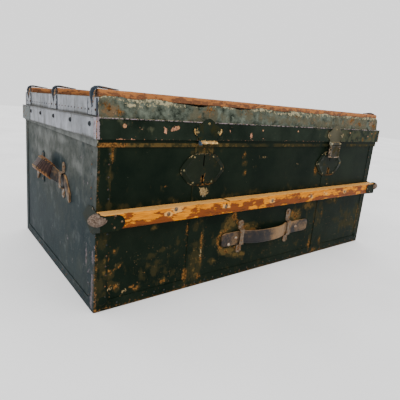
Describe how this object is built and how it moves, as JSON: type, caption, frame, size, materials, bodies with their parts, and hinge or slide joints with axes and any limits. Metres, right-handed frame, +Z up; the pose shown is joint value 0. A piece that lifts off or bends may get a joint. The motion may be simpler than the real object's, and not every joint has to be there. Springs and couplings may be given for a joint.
{
  "type": "metal travelling trunk",
  "caption": "Low metal-clad travelling trunk with a hinged overhanging lid, wooden slats and batten, lock plates, hasps and leather strap handles.",
  "frame": {"origin": "centre of the trunk's underside, on the floor plane", "axes": "+X along the front from left to right seen from the front, +Y from the front to the hinged back, +Z up"},
  "size_m": [0.9838, 0.5485, 0.4155],
  "materials": {
    "green_paint": "old dark green enamel on sheet iron, chipped and rust stained",
    "dark_iron": "dark painted pressed iron, worn on its high points",
    "rusty_iron": "rusted strip iron",
    "worn_steel": "bare worn steel, dull",
    "batten_wood": "yellow varnished softwood with brown patches",
    "slat_wood": "orange-brown varnished wood",
    "pine": "plain pine board",
    "dark_leather": "old dark brown strap leather",
    "grip_leather": "brown stitched leather"
  },
  "bodies": {
    "case": {"back_board": "pine", "batten": "batten_wood", "batten_cap_left": "dark_iron", "batten_cap_right": "dark_iron", "bottom_board": "pine", "case_bindings": "green_paint", "case_hinge_leaf_left": "dark_iron", "case_hinge_leaf_right": "dark_iron", "case_skin": "green_paint", "front_board": "pine", "front_handle_loop_left": "rusty_iron", "front_handle_loop_right": "rusty_iron", "front_strap_left": "green_paint", "front_strap_right": "green_paint", "hinge_pin_left": "worn_steel", "hinge_pin_right": "worn_steel", "left_board": "pine", "left_handle_loop_back": "rusty_iron", "left_handle_loop_front": "rusty_iron", "lock_case_left": "dark_iron", "lock_case_right": "dark_iron", "lock_plate_left": "green_paint", "lock_plate_right": "green_paint", "right_board": "pine", "right_handle_loop_back": "rusty_iron", "right_handle_loop_front": "rusty_iron", "rim_band": "rusty_iron"},
    "front_handle": {"front_handle_strap": "dark_leather"},
    "left_handle": {"left_handle_strap": "dark_leather", "left_handle_grip": "grip_leather"},
    "right_handle": {"right_handle_strap": "dark_leather", "right_handle_grip": "grip_leather"},
    "left_lock_bolt": {"lock_bolt_left": "worn_steel"},
    "right_lock_bolt": {"lock_bolt_right": "worn_steel"},
    "lid": {"lid_back_rail": "pine", "lid_front_rail": "pine", "lid_left_rail": "pine", "lid_right_rail": "pine", "lid_top_board": "pine", "lid_top_skin": "green_paint", "lid_corner_plate_left": "worn_steel", "lid_corner_plate_right": "worn_steel", "lid_hinge_leaf_left": "dark_iron", "lid_hinge_leaf_right": "dark_iron", "slat_front": "slat_wood", "slat_middle": "slat_wood", "slat_back": "slat_wood", "slat_clip_front_left": "dark_iron", "slat_clip_front_right": "dark_iron", "slat_clip_middle_left": "dark_iron", "slat_clip_middle_right": "dark_iron", "slat_clip_back_left": "dark_iron", "slat_clip_back_right": "dark_iron", "valance_front": "green_paint", "valance_left": "green_paint", "valance_right": "green_paint", "hasp_plate_left": "green_paint", "hasp_plate_right": "green_paint", "hasp_pin": "worn_steel"},
    "hasp_leaf": {"hasp_leaf": "dark_iron"}
  },
  "joints": [
    {"name": "lid_hinge", "type": "hinge", "parent": "case", "child": "lid", "pos_m": [0, 0.2588, 0.3383], "axis": [-1, 0, 0], "range_deg": [-1.17, 100]},
    {"name": "hasp_leaf_hinge", "type": "hinge", "parent": "lid", "child": "hasp_leaf", "pos_m": [0.222, -0.26684, 0.32223], "axis": [-1, 0, 0], "range_deg": [-7, 140]},
    {"name": "left_lock_bolt_slide", "type": "slide", "parent": "case", "child": "left_lock_bolt", "axis": [1, 0, 0], "range_m": [0, 0.0075]},
    {"name": "right_lock_bolt_slide", "type": "slide", "parent": "case", "child": "right_lock_bolt", "axis": [1, 0, 0], "range_m": [0, 0.0075]},
    {"name": "front_handle_slide", "type": "slide", "parent": "case", "child": "front_handle", "axis": [1, 0, 0], "range_m": [-0.006, 0]},
    {"name": "left_handle_slide", "type": "slide", "parent": "case", "child": "left_handle", "axis": [0, 1, 0], "range_m": [-0.006, 0.006]},
    {"name": "right_handle_slide", "type": "slide", "parent": "case", "child": "right_handle", "axis": [0, 1, 0], "range_m": [-0.006, 0.006]}
  ]
}
